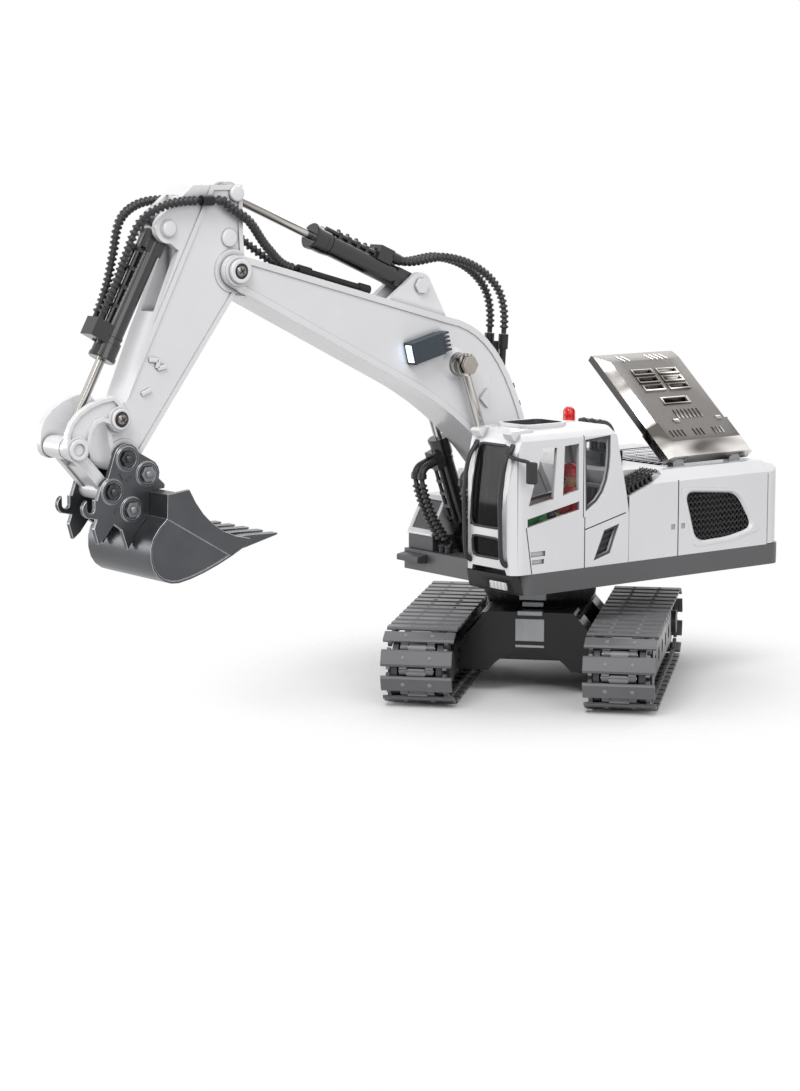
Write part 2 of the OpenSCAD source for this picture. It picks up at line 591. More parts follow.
module cab_windows() {
    side(8, cab_left) at_deck() {
        polygon(door_pane);
        polygon(door_pane2);
        polygon(door_low);
        polygon(rear_pane);
    }
    side(8, cab_right) at_deck() polygon([[40, 22], [36, 50], [0, 50], [-3, 28]]);
    translate([0, 0, deck_top]) {
        lengthwise(cab_front - 12, cab_front + 3)
            polygon([[cab_right + 5, 18], [cab_left - 6, 18], [cab_left - 6.5, 50],
            [cab_right + 5.5, 50]]);
        lengthwise(cab_front - 6, cab_front + 3)
            polygon([[cab_right + 6, 6], [cab_left - 7, 6], [cab_left - 7, 14], [cab_right + 6, 14]]);
        lengthwise(cab_rear - 1, cab_rear + 8)
            polygon([[cab_right + 6, 30], [cab_left - 6, 30], [cab_left - 6, 48], [cab_right + 6, 48]]);
    }
    translate([hatch[0], cab_mid, cab_top - 6]) pad(hatch[1], hatch[2], 10, 3);
}
// Roof hatch: middle, length, width
hatch = [29, 20, 16];
hatch_rim = 1.8;
// Horns of the visor at the roof's front corners
module visor_horn(y) side(5, y) polygon([[cab_front - 14, cab_top - 0.8],
    [cab_front - 3.6, cab_top - 1.2],
    [cab_front - 2.4, cab_top - 2.2], [cab_front - 4, cab_top - 4.6], [cab_front - 9, cab_top - 6]]);
groove = 0.5;
handle = [34.7, 42.2];
module cab_shell() color("#f4f4f5") difference() {
    union() {
        difference() {
            cab_solid(0);
            translate([0, 0, -0.01]) cab_solid(cab_wall);
        }
        translate([hatch[0], cab_mid, cab_top - 1.6])
            pad(hatch[1] + 2 * hatch_rim, hatch[2] + 2 * hatch_rim, 2.2, 3 + hatch_rim);
        for (y = [cab_left - 5.2, cab_right + 5.2]) visor_horn(y);
    }
    translate([0, 0, deck_top - 1]) linear_extrude(3) cab_plan(cab_wall);
    cab_windows();
    side(2 * groove, cab_left) louvre_outline();
    side(10, cab_left) at_deck() offset(delta = -1) polygon(louvre);
    side(2 * groove, cab_left) at_deck() offset(delta = 1.1) polygon(rear_pane);
    translate([15, cab_left, deck_top + 38]) cube([groove, 2 * groove, 36], center = true);
    translate([14.2, cab_left, deck_top + 10]) cube([groove, 2 * groove, 20.4], center = true);
    translate([43, cab_left, deck_top + 9]) rotate([0, 9, 0])
        cube([groove, 2 * groove, 19], center = true);
    translate([3.2, cab_left, deck_top + 17.6]) rotate([0, 12.9, 0])
        cube([22.4, 2 * groove, groove], center = true);
    // Door handle: a bar left across its recess
    side(1.8, cab_left) at_deck() {
        translate([handle[0], 6.7]) square([handle[1] - handle[0], 2]);
        translate([handle[0] + 0.6, 3.7]) square([handle[1] - handle[0] - 1.2, 1.8]);
    }
}
pane_t = 0.9;
module cab_glass() color("#cfe0e6") {
    side(pane_t, cab_left - cab_wall - pane_t / 2 - 0.02) at_deck()
        polygon([[44.4, 17.6], [37, 50.6], [1, 50.6], [3, 24], [44.4, 17.6]]);
    side(pane_t, cab_right + cab_wall + pane_t / 2 + 0.02) at_deck()
        polygon([[41, 21], [37, 51], [1.5, 51], [-3, 27]]);
    translate([hatch[0], cab_mid, cab_top - 3.8]) pad(hatch[1] + 2, hatch[2] + 2, pane_t, 3);
}
module cab_interior() color("#8d8f92") {
    translate([(cab_front + cab_rear) / 2 - 2, cab_mid, deck_top + 1.2 + seat])
        cube([cab_front - cab_rear - 12, cab_w - 2 * cab_wall - 3, 2.4], center = true);
    for (y = [-1, 1]) translate([22, cab_mid + y * 9.2, deck_top + 1.4]) pad(16, 4.4, 13, 1.6);
    for (y = [-1, 1]) translate([27, cab_mid + y * 9.2, deck_top + 14])
        cylinder(d1 = 2.4, d2 = 1.6, h = 6);
    translate([40, cab_mid - 7, deck_top + 1.4]) pad(5, 7, 20, 1.6);
}
module driver_seat() color("#3a3a3c") translate([12, cab_mid, deck_top + 2.4 + 2 * seat]) {
    pad(12, 10, 5, 2);
    translate([1, 0, 5]) pad(14, 13, 3.4, 2.4);
    translate([-6.5, 0, 8]) rotate([0, -10, 0]) translate([-1.4, 0, 0]) pad(3.4, 13, 20, 1.6);
}
hip = [13.4, 11.8];
module driver() translate([hip[0], cab_mid, deck_top + hip[1]]) {
    color("#c8282c") {
        translate([-2.4, 0, 0]) rotate([0, -8, 0]) cylinder(d1 = 8.4, d2 = 9.6, h = 13);
        translate([-3.6, 0, 19]) sphere(d = 9);
    }
    color("#e5b690") translate([-3.4, 0, 12]) cylinder(d = 4, h = 5);
    color("#2f9e48") for (y = [-1, 1]) translate([-2, y * 3, 2.4]) {
        rotate([0, 90, 0]) cylinder(d = 4.6, h = 13);
        translate([12, 0, 0.6]) rotate([0, 165, 0]) cylinder(d = 4, h = 11);
    }
}
// Grab rails at the windscreen, mirror on its arm, visor
module rail(y) {
    x = cab_front;
    p = [[x - 4.4, cab_top - 8], [x - 0.4, cab_top - 14], [x + 1.6, cab_top - 28],
        [x + 0.8, deck_top + 8], [x - 1.6, deck_top + 4]];
    bar(route(p, [for (q = p) y]), 1.8, 10);
}
module cab_trim() color("#1b1b1d") {
    rail(cab_left - 4.4);
    rail(cab_right + 4);
    translate([cab_front - 3.5, cab_left - 3, cab_top - 13]) rotate([-90, 0, 0]) cylinder(d = 1.6, h = 7);
    translate([cab_front - 6, cab_left + 3.6, cab_top - 20]) rotate([0, 0, 20]) cube([2, 4.2, 8.4]);
}

// Hood, drawn closed and swung open about its hinge
module hood() color("#8d8b89") translate([-hood_front, hood_y, hood_z]) rotate([-hood_open, 0, 0]) {
    difference() {
        hood_tray();
        for (x = [-10, -hood_l + 4]) translate([x - seat, -hinge_d, -hinge_d])
            cube([6 + 2 * seat, 2 * hinge_d, 2 * hinge_d]);
        translate([-hood_l - 1, 0, 0]) along_x(hinge_pin_d + 2 * fit, 0, hood_l + 2);
    }
}
hood_bevel = 4;
collar_l = 15;
collar_t = 0.9;
module hood_section(out) polygon([[hinge_d / 2, -0.6], [hinge_d / 2 + out, hood_h - hood_bevel / 2 + out],
    [-hood_bevel, hood_h + out], [-hood_w + 8, hood_h + out], [-hood_w, hood_h - 4 + out],
        [-hood_w, -0.6]]);
module hood_ends(out) polygon([[out, -1], [out, hood_h - 3.4 + out], [-3.4, hood_h + out],
    [-hood_l + 3.4, hood_h + out], [-hood_l - out, hood_h - 3.4 + out], [-hood_l - out, -1]]);
module hood_body(out) intersection() {
    translate([-hood_l - 2, 0, 0]) rotate([90, 0, 90]) linear_extrude(hood_l + 4) hood_section(out);
    translate([0, hinge_d, 0]) rotate([90, 0, 0]) linear_extrude(hood_w + 2 * hinge_d) hood_ends(out);
}
module hood_tray() difference() {
    union() {
        hood_body(0);
        intersection() {
            hood_body(collar_t);
            translate([-hood_l - 2, -collar_l, -1])
                cube([hood_l + 4, collar_l + 2 * hinge_d, hood_h + 4]);
        }
    }
    translate([-hood_l + wall, 0, -1]) rotate([90, 0, 90]) linear_extrude(hood_l - 2 * wall)
        polygon([[-2.6, 0], [-2.6, hood_h - wall - 1], [-hood_bevel, hood_h - wall + 1],
            [-hood_w + 8, hood_h - wall + 1],
            [-hood_w + wall, hood_h - 4 - wall + 1], [-hood_w + wall, 0]]);
    for (i = [0:6]) hood_slot(-17 - 2.2 * i, -17, 1.1, 5);
    for (i = [0:3]) hood_slot(-6 - 2.2 * i, -6.6, 1.1, 3.4);
    for (i = [0:2], k = [0, 1]) hood_slot(-19 - 2.2 * i - 11 * k, -6.6, 1.1, 3.4);
    for (i = [0:2], k = [0, 1]) hood_slot(-11 - 14 * k, -34 - 4.6 * i, 10, 2.4);
    hood_slot(-16, -26, 13, 2.6);
    for (i = [0:3]) hood_slot(-26 - 2.8 * i, -51.6, 1.3, 5);
    for (i = [0:1]) hood_slot(-10 - 2.8 * i, -51.6, 1.3, 5);
}
module hood_slot(x, y, l, w) translate([x - l, y - w, 0]) cube([l, w, hood_h + 2]);

// Boom: outline, then two moulded halves that meet in its middle plane
tip_r = 6;
boom_knee = foot + [11.3, 39.5];
boom_belly = foot + [26, 24];
boom_under = elbow + [23, -23.8];
function boom_back() = bez(elbow, elbow + [-20, -3.5], boom_knee + [9.7, 27.5], boom_knee, 10);
function boom_outline() = concat(
    arc(tip, tip_r, -62, 105, 8),
    boom_back(),
    arc(foot, foot_r, 153, 319, 8),
    bez(boom_belly, boom_belly + [14, 17], boom_under + [-17, -8.2], boom_under, 8));
slot_r = 11.2;
slot_w = arm_w + 2 * side_gap;
shell_t = 2;
module boom_cheeks() polygon(concat([[arm_cyl_base[0] + 17, arm_cyl_base[1] - 6]],
    arc(arm_cyl_base, 5.2, 40, 150, 6),
    [[arm_cyl_base[0] - 14.5, arm_cyl_base[1] - 15.5], [arm_cyl_base[0] + 10, arm_cyl_base[1] - 12]]));
module boom_half(s) color("#f4f4f5") {
    y0 = boom_y + s * boom_w / 4;
    difference() {
        union() {
            difference() {
                side(boom_w / 2, y0) polygon(boom_outline());
                difference() {
                    side(1.2, boom_y + s * boom_w / 2) offset(delta = -2.4) polygon(boom_outline());
                    cross_bar(tip, 2 * tip_r + 1, house_w, boom_y);
                    cross_bar(foot, 2 * foot_r + 4, house_w, boom_y);
                }
                difference() {
                    side(boom_w / 2 - shell_t - 0.6, boom_y + s * (boom_w / 2 - shell_t - 0.6) / 2)
                        offset(delta = -shell_t) polygon(boom_outline());
                    cross_bar(tip, 2 * slot_r + 8, house_w, boom_y);
                    cross_bar(foot, 2 * foot_r + 4, house_w, boom_y);
                    cross_bar(rod_pin, 9, house_w, boom_y);
                }
            }
            side(2.6, boom_y + s * (cheek_gap / 2 + 1.3)) boom_cheeks();
            translate([rod_pin[0], boom_y + s * (boom_w / 2 - 1), rod_pin[1]]) rotate([-s * 90, 0, 0])
                cylinder(d1 = 14, d2 = 9.4, h = 2.3);
            cross_bar(tip, 2 * tip_r - 0.8, 1, boom_y + s * (boom_w / 2 + 0.4));
            translate([elbow[0] - 19, boom_y + s * boom_w / 2, elbow[1] - 33]) rotate([-s * 90, 0, 0])
                linear_extrude(1.4, center = true)
                polygon([[-1, -4], [3, 0], [-1, 4]]);
        }
        cross_bar(tip, 2 * slot_r, slot_w, boom_y);
        translate([tip[0], boom_y - slot_w / 2, tip[1] - slot_r]) cube([20, slot_w, 2 * slot_r]);
        cross_bar(tip, foot_pin_d + 2 * seat, house_w, boom_y);
        cross_bar(foot, foot_pin_d + 2 * fit, house_w, boom_y);
        cross_bar(arm_cyl_base, pin_d + 2 * seat, house_w, boom_y);
        cross_bar(rod_pin, pin_d + 2 * seat, house_w, boom_y);
    }
}
module boom_half_left() boom_half(1);
module boom_half_right() boom_half(-1);
// Work lamp on each side of the boom, facing forward
lamp = elbow + [13, -11.5];
module boom_lamps() for (s = [-1, 1]) translate([lamp[0], boom_y + s * (boom_w / 2 - 0.6), lamp[1]])
    rotate([0, 14, 0]) {
    color("#1f1f21") {
        translate([0, s * 2.6, 0]) cube([15, 5, 8.4], center = true);
        for (i = [0:4]) translate([-9, s * 2.6, -3.4 + 1.7 * i]) cube([4, 4.4, 0.8], center = true);
        translate([-6.4, s * 2.6, 0]) cube([2, 4.2, 8], center = true);
    }
}
module boom_bolts() color("#3a3a3c") {
    cross_bar(tip, foot_pin_d, boom_w + 1, boom_y);
    for (s = [-1, 1]) {
        cross_bar(tip, 7.6, 1.2, boom_y + s * (boom_w / 2 + 1.5));
        cross_bar(rod_pin, pin_d, boom_cyl_y + 3 - boom_w / 2 + 6,
            boom_y + s * (boom_cyl_y + 3 + boom_w / 2 - 6) / 2);
        hex_head(rod_pin, 6.6, 1.8, boom_y + s * (boom_cyl_y + 3.9) - 0.9);
    }
    cross_bar(arm_cyl_base, pin_d, cheek_gap + 5.6, boom_y);
    for (s = [-1, 1]) hex_head(arm_cyl_base, 5.6, 1.4, boom_y + s * (cheek_gap / 2 + 3.4) - 0.7);
}
// Pipes clipped on the boom: a pair on top with its couplings, three down its back
pipe_d = 2.8;
coupling_d = 4;
pipe_y = 4.4;
top_end = tip + tip_r * [cos(105), sin(105)];
function on_top(s, h) = let (a = tilt(elbow, top_end))
    elbow + s * [cos(a), sin(a)] + h * [-sin(a), cos(a)];
top_pipe = [on_top(70, coupling_d / 2 + seat), on_top(36, coupling_d / 2 + seat)];
function back_line(h) = let (c = boom_back()) [for (i = [7:10])
    let (d = unit(c[min(i + 1, 10)] - c[i - 1]))
    c[i] + h * [d[1], -d[0]]];
back_run = back_line(pipe_d / 2 + seat);
back_turn = unit(back_run[3] - back_run[2]);
back_pipe = concat([back_run[0] + [-0.6, 12], back_run[0] + [0, 3]], back_run,
    [back_run[3] + 4 * unit(back_turn + 1.2 * [back_turn[1], -back_turn[0]])]);
back_dir = unit(back_pipe[0] - back_pipe[1]);
back_start = back_pipe[0] + 3 * back_dir;
back_end = back_pipe[6];
back_end_dir = unit(back_pipe[6] - back_pipe[5]);
module boom_pipes() color("#1b1b1d") {
    a = tilt(top_pipe[0], top_pipe[1]);
    for (s = [-1, 1]) {
        aim(top_pipe[0], a, boom_y + s * 2.2) along_x(pipe_d, 1, span(top_pipe[0], top_pipe[1]) - 1);
        aim(top_pipe[0], a, boom_y + s * 2.2) along_x(coupling_d, 0, 6);
        aim(top_pipe[1], a, boom_y + s * 2.2) along_x(coupling_d, -4, 1);
    }
    for (s = [-1, 0, 1]) bar(route(back_pipe, [for (q = back_pipe) boom_y + s * pipe_y]), pipe_d, 10);
    for (s = [-1, 1]) aim(back_start, tilt(back_pipe[1], back_pipe[0]), boom_y + s * pipe_y)
        along_x(coupling_d, -6, 0);
    for (i = [3, 4]) aim(back_pipe[i], tilt(back_pipe[i], back_pipe[i + 1]), boom_y)
        translate([-1, -pipe_y - pipe_d / 2 - 0.5, -pipe_d / 2 - 0.6])
            cube([2, 2 * pipe_y + pipe_d + 1, 1.2]);
}

// Cylinders: barrel with foot eye, gland, pipe with clips and hose block; rod with its eye
block_l = 7;
module barrel(len, d, eye_w, eye_y, bore, block, block_h, pipe_x) {
    difference() {
        union() {
            along_x(d, eye_y == 0 ? 2 : d + 0.8, len - 6);
            along_x(d + 1.2, len - 6, len);
            translate([0, eye_y, 0]) {
                rotate([90, 0, 0]) cylinder(d = d, h = eye_w, center = true);
                translate([0, -eye_w / 2, -d / 2 + 0.6]) cube([d + 2, eye_w, d - 1.2]);
            }
            translate([block, 0, d / 2 - 1.5 + block_h / 2])
                cube([block_l, d * 0.9, block_h], center = true);
            for (y = [-1, 1]) translate([0, y * 1.7, d / 2 + 0.7]) along_x(1.6, pipe_x, len - 5);
            for (i = [0:4]) translate([pipe_x + 2 + i * (len - pipe_x - 14) / 4, 0, d / 2 + 0.3])
                cube([1.4, d * 0.62, 2.6], center = true);
        }
        along_x(rod_d + 2 * fit, d + 3, len + 1);
        rotate([90, 0, 0]) cylinder(d = bore, h = 4 * eye_w, center = true);
    }
}
module rod(len, eye_d, eye_w, hole) difference() {
    union() {
        along_x(rod_d, -len, 0);
        rotate([90, 0, 0]) cylinder(d = eye_d, h = eye_w, center = true);
    }
    rotate([90, 0, 0]) cylinder(d = hole, h = 2 * eye_w, center = true);
}
// The boom cylinders' feet stand outside the bracket's cheeks
boom_eye_w = boom_cyl_y + boom_barrel_d / 2 - bracket_y - cheek_t - 0.6;
boom_eye_y = (boom_barrel_d - boom_eye_w) / 2 - 0.3;
// Shares of a cylinder: the rod reaches down to rod_end from the barrel's foot
module boom_barrel(s) color("#3d3e40") aim(cyl_base, tilt(cyl_base, rod_pin), boom_y + s * boom_cyl_y)
    rotate([180, 0, 0])
    barrel(boom_barrel_l, boom_barrel_d, boom_eye_w, -s * boom_eye_y, pin_d + 2 * fit, boom_barrel_l - 8,
        4.2, 9);
module boom_barrel_left() boom_barrel(1);
module boom_barrel_right() boom_barrel(-1);
module boom_rod(s) color("#c9c6c2") aim(rod_pin, tilt(cyl_base, rod_pin), boom_y + s * boom_cyl_y)
    rod(span(cyl_base, rod_pin) - 18, 9, 5.2, pin_d + 2 * boom_drift);
module boom_rod_left() boom_rod(1);
module boom_rod_right() boom_rod(-1);
module arm_barrel() color("#3d3e40") aim(arm_cyl_base, tilt(arm_cyl_base, arm_rod_pin), boom_y)
    barrel(arm_barrel_l, arm_barrel_d, cheek_gap - 0.6, 0, pin_d + 2 * fit, 18, 5.8, 20);
module arm_rod() color("#c9c6c2") aim(arm_rod_pin, tilt(arm_cyl_base, arm_rod_pin), boom_y)
    rod(span(arm_cyl_base, arm_rod_pin) - 22, 8.6, 5.4, pin_d + 2 * arm_drift);
module bucket_barrel() color("#3d3e40") aim(bucket_cyl_base, tilt(bucket_cyl_base, rod_link_pin), boom_y)
    barrel(bucket_barrel_l, arm_barrel_d, cheek_gap - 0.6, 0, pin_d + 2 * fit, bucket_barrel_l - 9, 7.4,
        9);
module bucket_rod() color("#c9c6c2") aim(rod_link_pin, tilt(bucket_cyl_base, rod_link_pin), boom_y)
    rod(span(bucket_cyl_base, rod_link_pin) - 22, 8.4, cheek_gap - 0.4, pin_d + 2 * rod_drift);

// Arm: box beam with ears for the bucket cylinder and a clevis for the arm cylinder's rod
ear_r = 5.4;
arm_end_r = 5.4;
function arm_outline() = concat(
    [arm_rod_pin + [-2.8, 3.2], arm_rod_pin + [18.5, 3.2]],
    arc(bucket_cyl_base, ear_r, 50, -100, 6),
    [tip + [23.6, 8], bucket_pivot + [-1.8, 20.4]],
    arc(rocker_pin, 4.4, 60, -20, 4),
    arc(bucket_pivot, arm_end_r, 10, -140, 6),
    arc(tip, tip_r, 215, 150, 5),
    [arm_rod_pin + [-2.8, -14]]);
// Outline of the beam between the ridges, without the cylinder's ears
function arm_beam() = concat(
    [arm_rod_pin + [-2.8, 3.2], arm_rod_pin + [11, 3.2], rocker_pin + [-4, 8]],
    arc(rocker_pin, 4.4, 60, -20, 4),
    arc(bucket_pivot, arm_end_r, 10, -140, 6),
    arc(tip, tip_r, 215, 150, 5),
    [arm_rod_pin + [-2.8, -14]]);
arm_ridge = 1.8;
module arm_bosses() {
    translate(tip) circle(8);
    translate(bucket_pivot) circle(7);
    translate(rocker_pin) circle(6);
}
module arm_shell() color("#f4f4f5") difference() {
    side(arm_w, boom_y) polygon(arm_outline());
    for (s = [-1, 1]) side(1, boom_y + s * arm_w / 2) {
        difference() {
            offset(delta = -arm_ridge) polygon(arm_beam());
            arm_bosses();
        }
        difference() {
            offset(delta = 1) polygon(arm_outline());
            polygon(arm_beam());
            arm_bosses();
            translate(bucket_cyl_base) circle(3.4);
        }
    }
    // Slot for the bucket cylinder between the ears
    translate([bucket_cyl_base[0] - 7, boom_y - cheek_gap / 2, bucket_cyl_base[1] - 30])
        cube([30, cheek_gap, 42]);
    // Clevis slot for the arm rod's eye
    cross_bar(arm_rod_pin, 2 * (4.3 + arm_drift + 0.4), 6, boom_y);
    translate([arm_rod_pin[0] - 12, boom_y - 3, arm_rod_pin[1] - 6.4]) cube([12, 6, 20]);
    cross_bar(tip, foot_pin_d + 2 * fit, house_w, boom_y);
    cross_bar(arm_rod_pin, pin_d + 2 * seat, house_w, boom_y);
    cross_bar(bucket_cyl_base, pin_d + 2 * seat, house_w, boom_y);
    cross_bar(rocker_pin, pin_d + 2 * seat, house_w, boom_y);
    cross_bar(bucket_pivot, pin_d + 2 * fit, house_w, boom_y);
}
arm_clip = tip + [13, 26];
clip_y = arm_w / 2 + 2.3;
module arm_bolts() color("#3a3a3c") {
    cross_bar(arm_rod_pin, pin_d, arm_w + 1, boom_y);
    cross_bar(bucket_cyl_base, pin_d, arm_w + 1, boom_y);
    cross_bar(rocker_pin, pin_d, arm_w + 2 * (side_gap + rocker_t) + 1, boom_y);
    for (s = [-1, 1]) {
        cross_bar(rocker_pin, 4.8, 1, boom_y + s * (rocker_in + rocker_t + 0.8));
        translate([arm_clip[0], boom_y + s * clip_y, arm_clip[1]]) along_x(coupling_d, -2.5, 2.5);
        translate([arm_clip[0], boom_y + s * (arm_w / 2 + 1.3), arm_clip[1]])
            cube([3, 2.4, 3.2], center = true);
    }
}
// Rocker: a curved arm on each side of the arm, joined by the pin of rod and link
module rocker_side() polygon(concat(arc(rocker_pin, 4.6, -60, -240, 8),
    bez(rocker_pin + [2, 8.4], rocker_pin + [14, 7.6], rod_link_pin + [6, 11], rod_link_pin + [4.6, 1],
        6),
    arc(rod_link_pin, 4.6, 0, -150, 6),
    bez(rod_link_pin + [-5, 1.4], rod_link_pin + [-6, 9], rocker_pin + [8, 1], rocker_pin + [4.4, -1.4],
        4)));
rocker_rim = 1.5;
module rocker() color("#f4f4f5") difference() {
    union() {
        for (s = [-1, 1]) side(rocker_t, boom_y + s * (rocker_in + rocker_t / 2)) rocker_side();
        cross_bar(rod_link_pin, pin_d, 2 * (rocker_in + rocker_t), boom_y);
    }
    for (s = [-1, 1]) side(1.6, boom_y + s * (rocker_in + rocker_t)) difference() {
        offset(delta = -rocker_rim) rocker_side();
        translate(rocker_pin) circle(4.8);
        translate(rod_link_pin) circle(4.8);
    }
    cross_bar(rocker_pin, pin_d + 2 * fit, house_w, boom_y);
}
// Link from the rocker's pin to the coupler
sleeve_w = min(rocker_in, coupler_in) - 0.25 - cheek_gap / 2;
module link() color("#f4f4f5") difference() {
    union() {
        for (s = [-1, 1]) cross_bar(rod_link_pin, 8, sleeve_w,
            boom_y + s * (cheek_gap / 2 + sleeve_w / 2));
        cross_bar(coupler_pin, 7.4, 2 * coupler_in - 0.4, boom_y);
        for (s = [-1, 1]) aim(rod_link_pin, tilt(rod_link_pin, coupler_pin),
            boom_y + s * (cheek_gap / 2 + sleeve_w / 2))
            translate([0, -sleeve_w / 2, -2.2]) cube([span(rod_link_pin, coupler_pin), sleeve_w, 4.4]);
        aim(rod_link_pin, tilt(rod_link_pin, coupler_pin), boom_y)
            translate([8, -cheek_gap / 2 - 1, -1.6])
            cube([span(rod_link_pin, coupler_pin) - 8, cheek_gap + 2, 3.2]);
    }
    cross_bar(rod_link_pin, pin_d + 2 * fit, house_w, boom_y);
    cross_bar(coupler_pin, pin_d + 2 * link_drift, house_w, boom_y);
}
// Bucket: curved plate between two sides, teeth on the lip, drawn from the bucket pivot
function bp(x, z) = bucket_pivot + [x, z];
lip = bp(-45.8, -31.9);
function bucket_outer() = concat([bp(-9.6, -12.7), bp(-9.3, -21.5)],
    bez(bp(-9.3, -21.5), bp(-3.2, -26.4), bp(-1.4, -29.6), bp(-2, -36), 4),
    bez(bp(-2, -36), bp(-2.8, -43), bp(-8.4, -46), bp(-14, -45.6), 5),
    bez(bp(-14, -45.6), bp(-22, -44.6), bp(-34, -40), bp(-44, -34.4), 5), [lip]);
function bucket_mouth() = bez(lip, bp(-32, -30), bp(-24, -22), bp(-19.1, -11.6), 6);
module bucket_side_outline() polygon(concat(bucket_outer(), bucket_mouth()));
module bucket() color("#66686a") {
    difference() {
        side(bucket_w, boom_y) bucket_side_outline();
        // Step in each side plate, under the cheek
        for (s = [-1, 1]) side(0.9, boom_y + s * bucket_w / 2) intersection() {
            offset(delta = -0.9) bucket_side_outline();
            polygon([bp(-9.3, -21.5), bp(-37.5, -38), bp(-20, -52), bp(4, -44), bp(4, -22)]);
        }
        side(bucket_w - 2 * bucket_t, boom_y) difference() {
            translate([-0.6, 0.6]) offset(delta = -bucket_t)
                polygon(concat(bucket_outer(), [bp(-60, -10), bp(-30, 4)]));
            translate(bp(-14, -22)) square([8, 20]);
        }
    }
    for (i = [0:bucket_teeth - 1]) translate([0, boom_y + (i / (bucket_teeth - 1) - 0.5) * (bucket_w - 6),
        0]) side(4)
        polygon([lip + [6, -1.8], lip + [2.4, -3.6], lip + [-13, 0.2], lip + [-13, 0.9], lip + [0, 1.2],
            lip + [6, 1]]);
}
// Coupler: two side plates with hooks, shaped to the bucket's back
nut_a = bp(-8.4, -6.2);
nut_b = bp(-1.6, -18.7);
module coupler_plate() polygon(concat(arc(bucket_pivot, 5.6, 160, 20, 6),
    arc(coupler_pin, 5.2, 70, 10, 4),
    [coupler_pin + [6.4, -2.6]], arc(coupler_pin + [9, -5.6], 3.6, 90, -60, 6),
    [coupler_pin + [6.6, -9.6], coupler_pin + [7.8, -13], coupler_pin + [6.2, -18.8], bp(9.6, -28),
        bp(6, -23.6), bp(2.6, -26),
    bp(0.2, -33.4), bp(-2.4, -30), bp(-6, -25), bp(-9.4, -22), bp(-15.6, -16), bp(-16.2, -10.5)],
        arc(nut_a, 5.6, 200, 110, 4)));
hook = coupler_pin + [9, -5.6];
hook_d = 3.2;
coupler_eyes = [bucket_pivot, coupler_pin, nut_a, nut_b];
coupler_out = coupler_in + coupler_t;
eye_ring = [9.2, 6.8, 0.7];
module coupler() color("#66686a") difference() {
    union() {
        for (s = [-1, 1]) side(coupler_t, boom_y + s * (coupler_in + coupler_t / 2)) difference() {
            coupler_plate();
            translate(hook) circle(d = hook_d);
            translate(hook + [-hook_d / 2, 0]) square([hook_d, 8]);
        }
        for (s = [-1, 1], p = coupler_eyes)
            cross_bar(p, eye_ring[0], 2 * eye_ring[2], boom_y + s * coupler_out);
        for (p = [nut_a, nut_b]) cross_bar(p, 6, 2 * coupler_in + 1, boom_y);
    }
    for (s = [-1, 1], p = coupler_eyes)
        cross_bar(p, eye_ring[1], eye_ring[2] + 1, boom_y + s * (coupler_out + (eye_ring[2] + 1) / 2));
    side(bucket_w + 2, boom_y) offset(delta = 1.5 * seat) polygon(concat(bucket_outer(), [bp(-40, -10)]));
    for (p = coupler_eyes) cross_bar(p, pin_d + 2 * seat, house_w, boom_y);
}
module coupler_bolts() color("#4a4b4d") for (p = coupler_eyes) {
    w = 2 * coupler_out;
    cross_bar(p, pin_d, w + 2, boom_y);
    for (s = [-1, 1]) hex_head(p, 5.4, 1.6, boom_y + s * (w / 2 + 0.9) - 0.8);
}

// Ribbed hoses: one swept tube each, bored through, its ends straight in their fittings
function flat(l) = [for (a = l) each a];
function unit(v) = v / norm(v);
function lead(p, i) = i <= 1 ? unit(p[1] - p[0]) * norm(p[2] - p[1]) :
    i >= len(p) - 2 ? unit(p[len(p) - 1] - p[len(p) - 2]) * norm(p[len(p) - 2] - p[len(p) - 3]) :
        (p[i + 1] - p[i - 1]) / 2;
function blend(a, b, u, v, t) = (1 - 3 * t * t + 2 * t * t * t) * a + (3 * t * t - 2 * t * t * t) * b
    + (t - 2 * t * t + t * t * t) * u + (t * t * t - t * t) * v;
function run(p, n) = concat([p[0]], [for (i = [1:len(p) - 3], k = [0:n - 1])
    blend(p[i], p[i + 1], lead(p, i), lead(p, i + 1), k / n)],
    [p[len(p) - 2], p[len(p) - 1]]);
function lengths(p, i = 0, s = 0) = i >= len(p) ? [] : let (t = s + (i > 0 ? norm(p[i] - p[i - 1]) : 0))
    concat([t], lengths(p, i + 1, t));
function at_length(p, s, d, i = 0) = i >= len(p) - 2 || d[i + 1] >= s ?
    p[i] + (p[i + 1] - p[i]) * (s - d[i]) / max(d[i + 1] - d[i], 0.001) : at_length(p, s, d, i + 1);
function ring(c, t, r, n) = let (u = unit(t), a = unit(cross(abs(u[1]) > 0.9 ? [1, 0, 0] : [0, 1, 0], u)),
    b = cross(u, a))
    [for (k = [0:n - 1]) c + r * (cos(360 * k / n) * a + sin(360 * k / n) * b)];
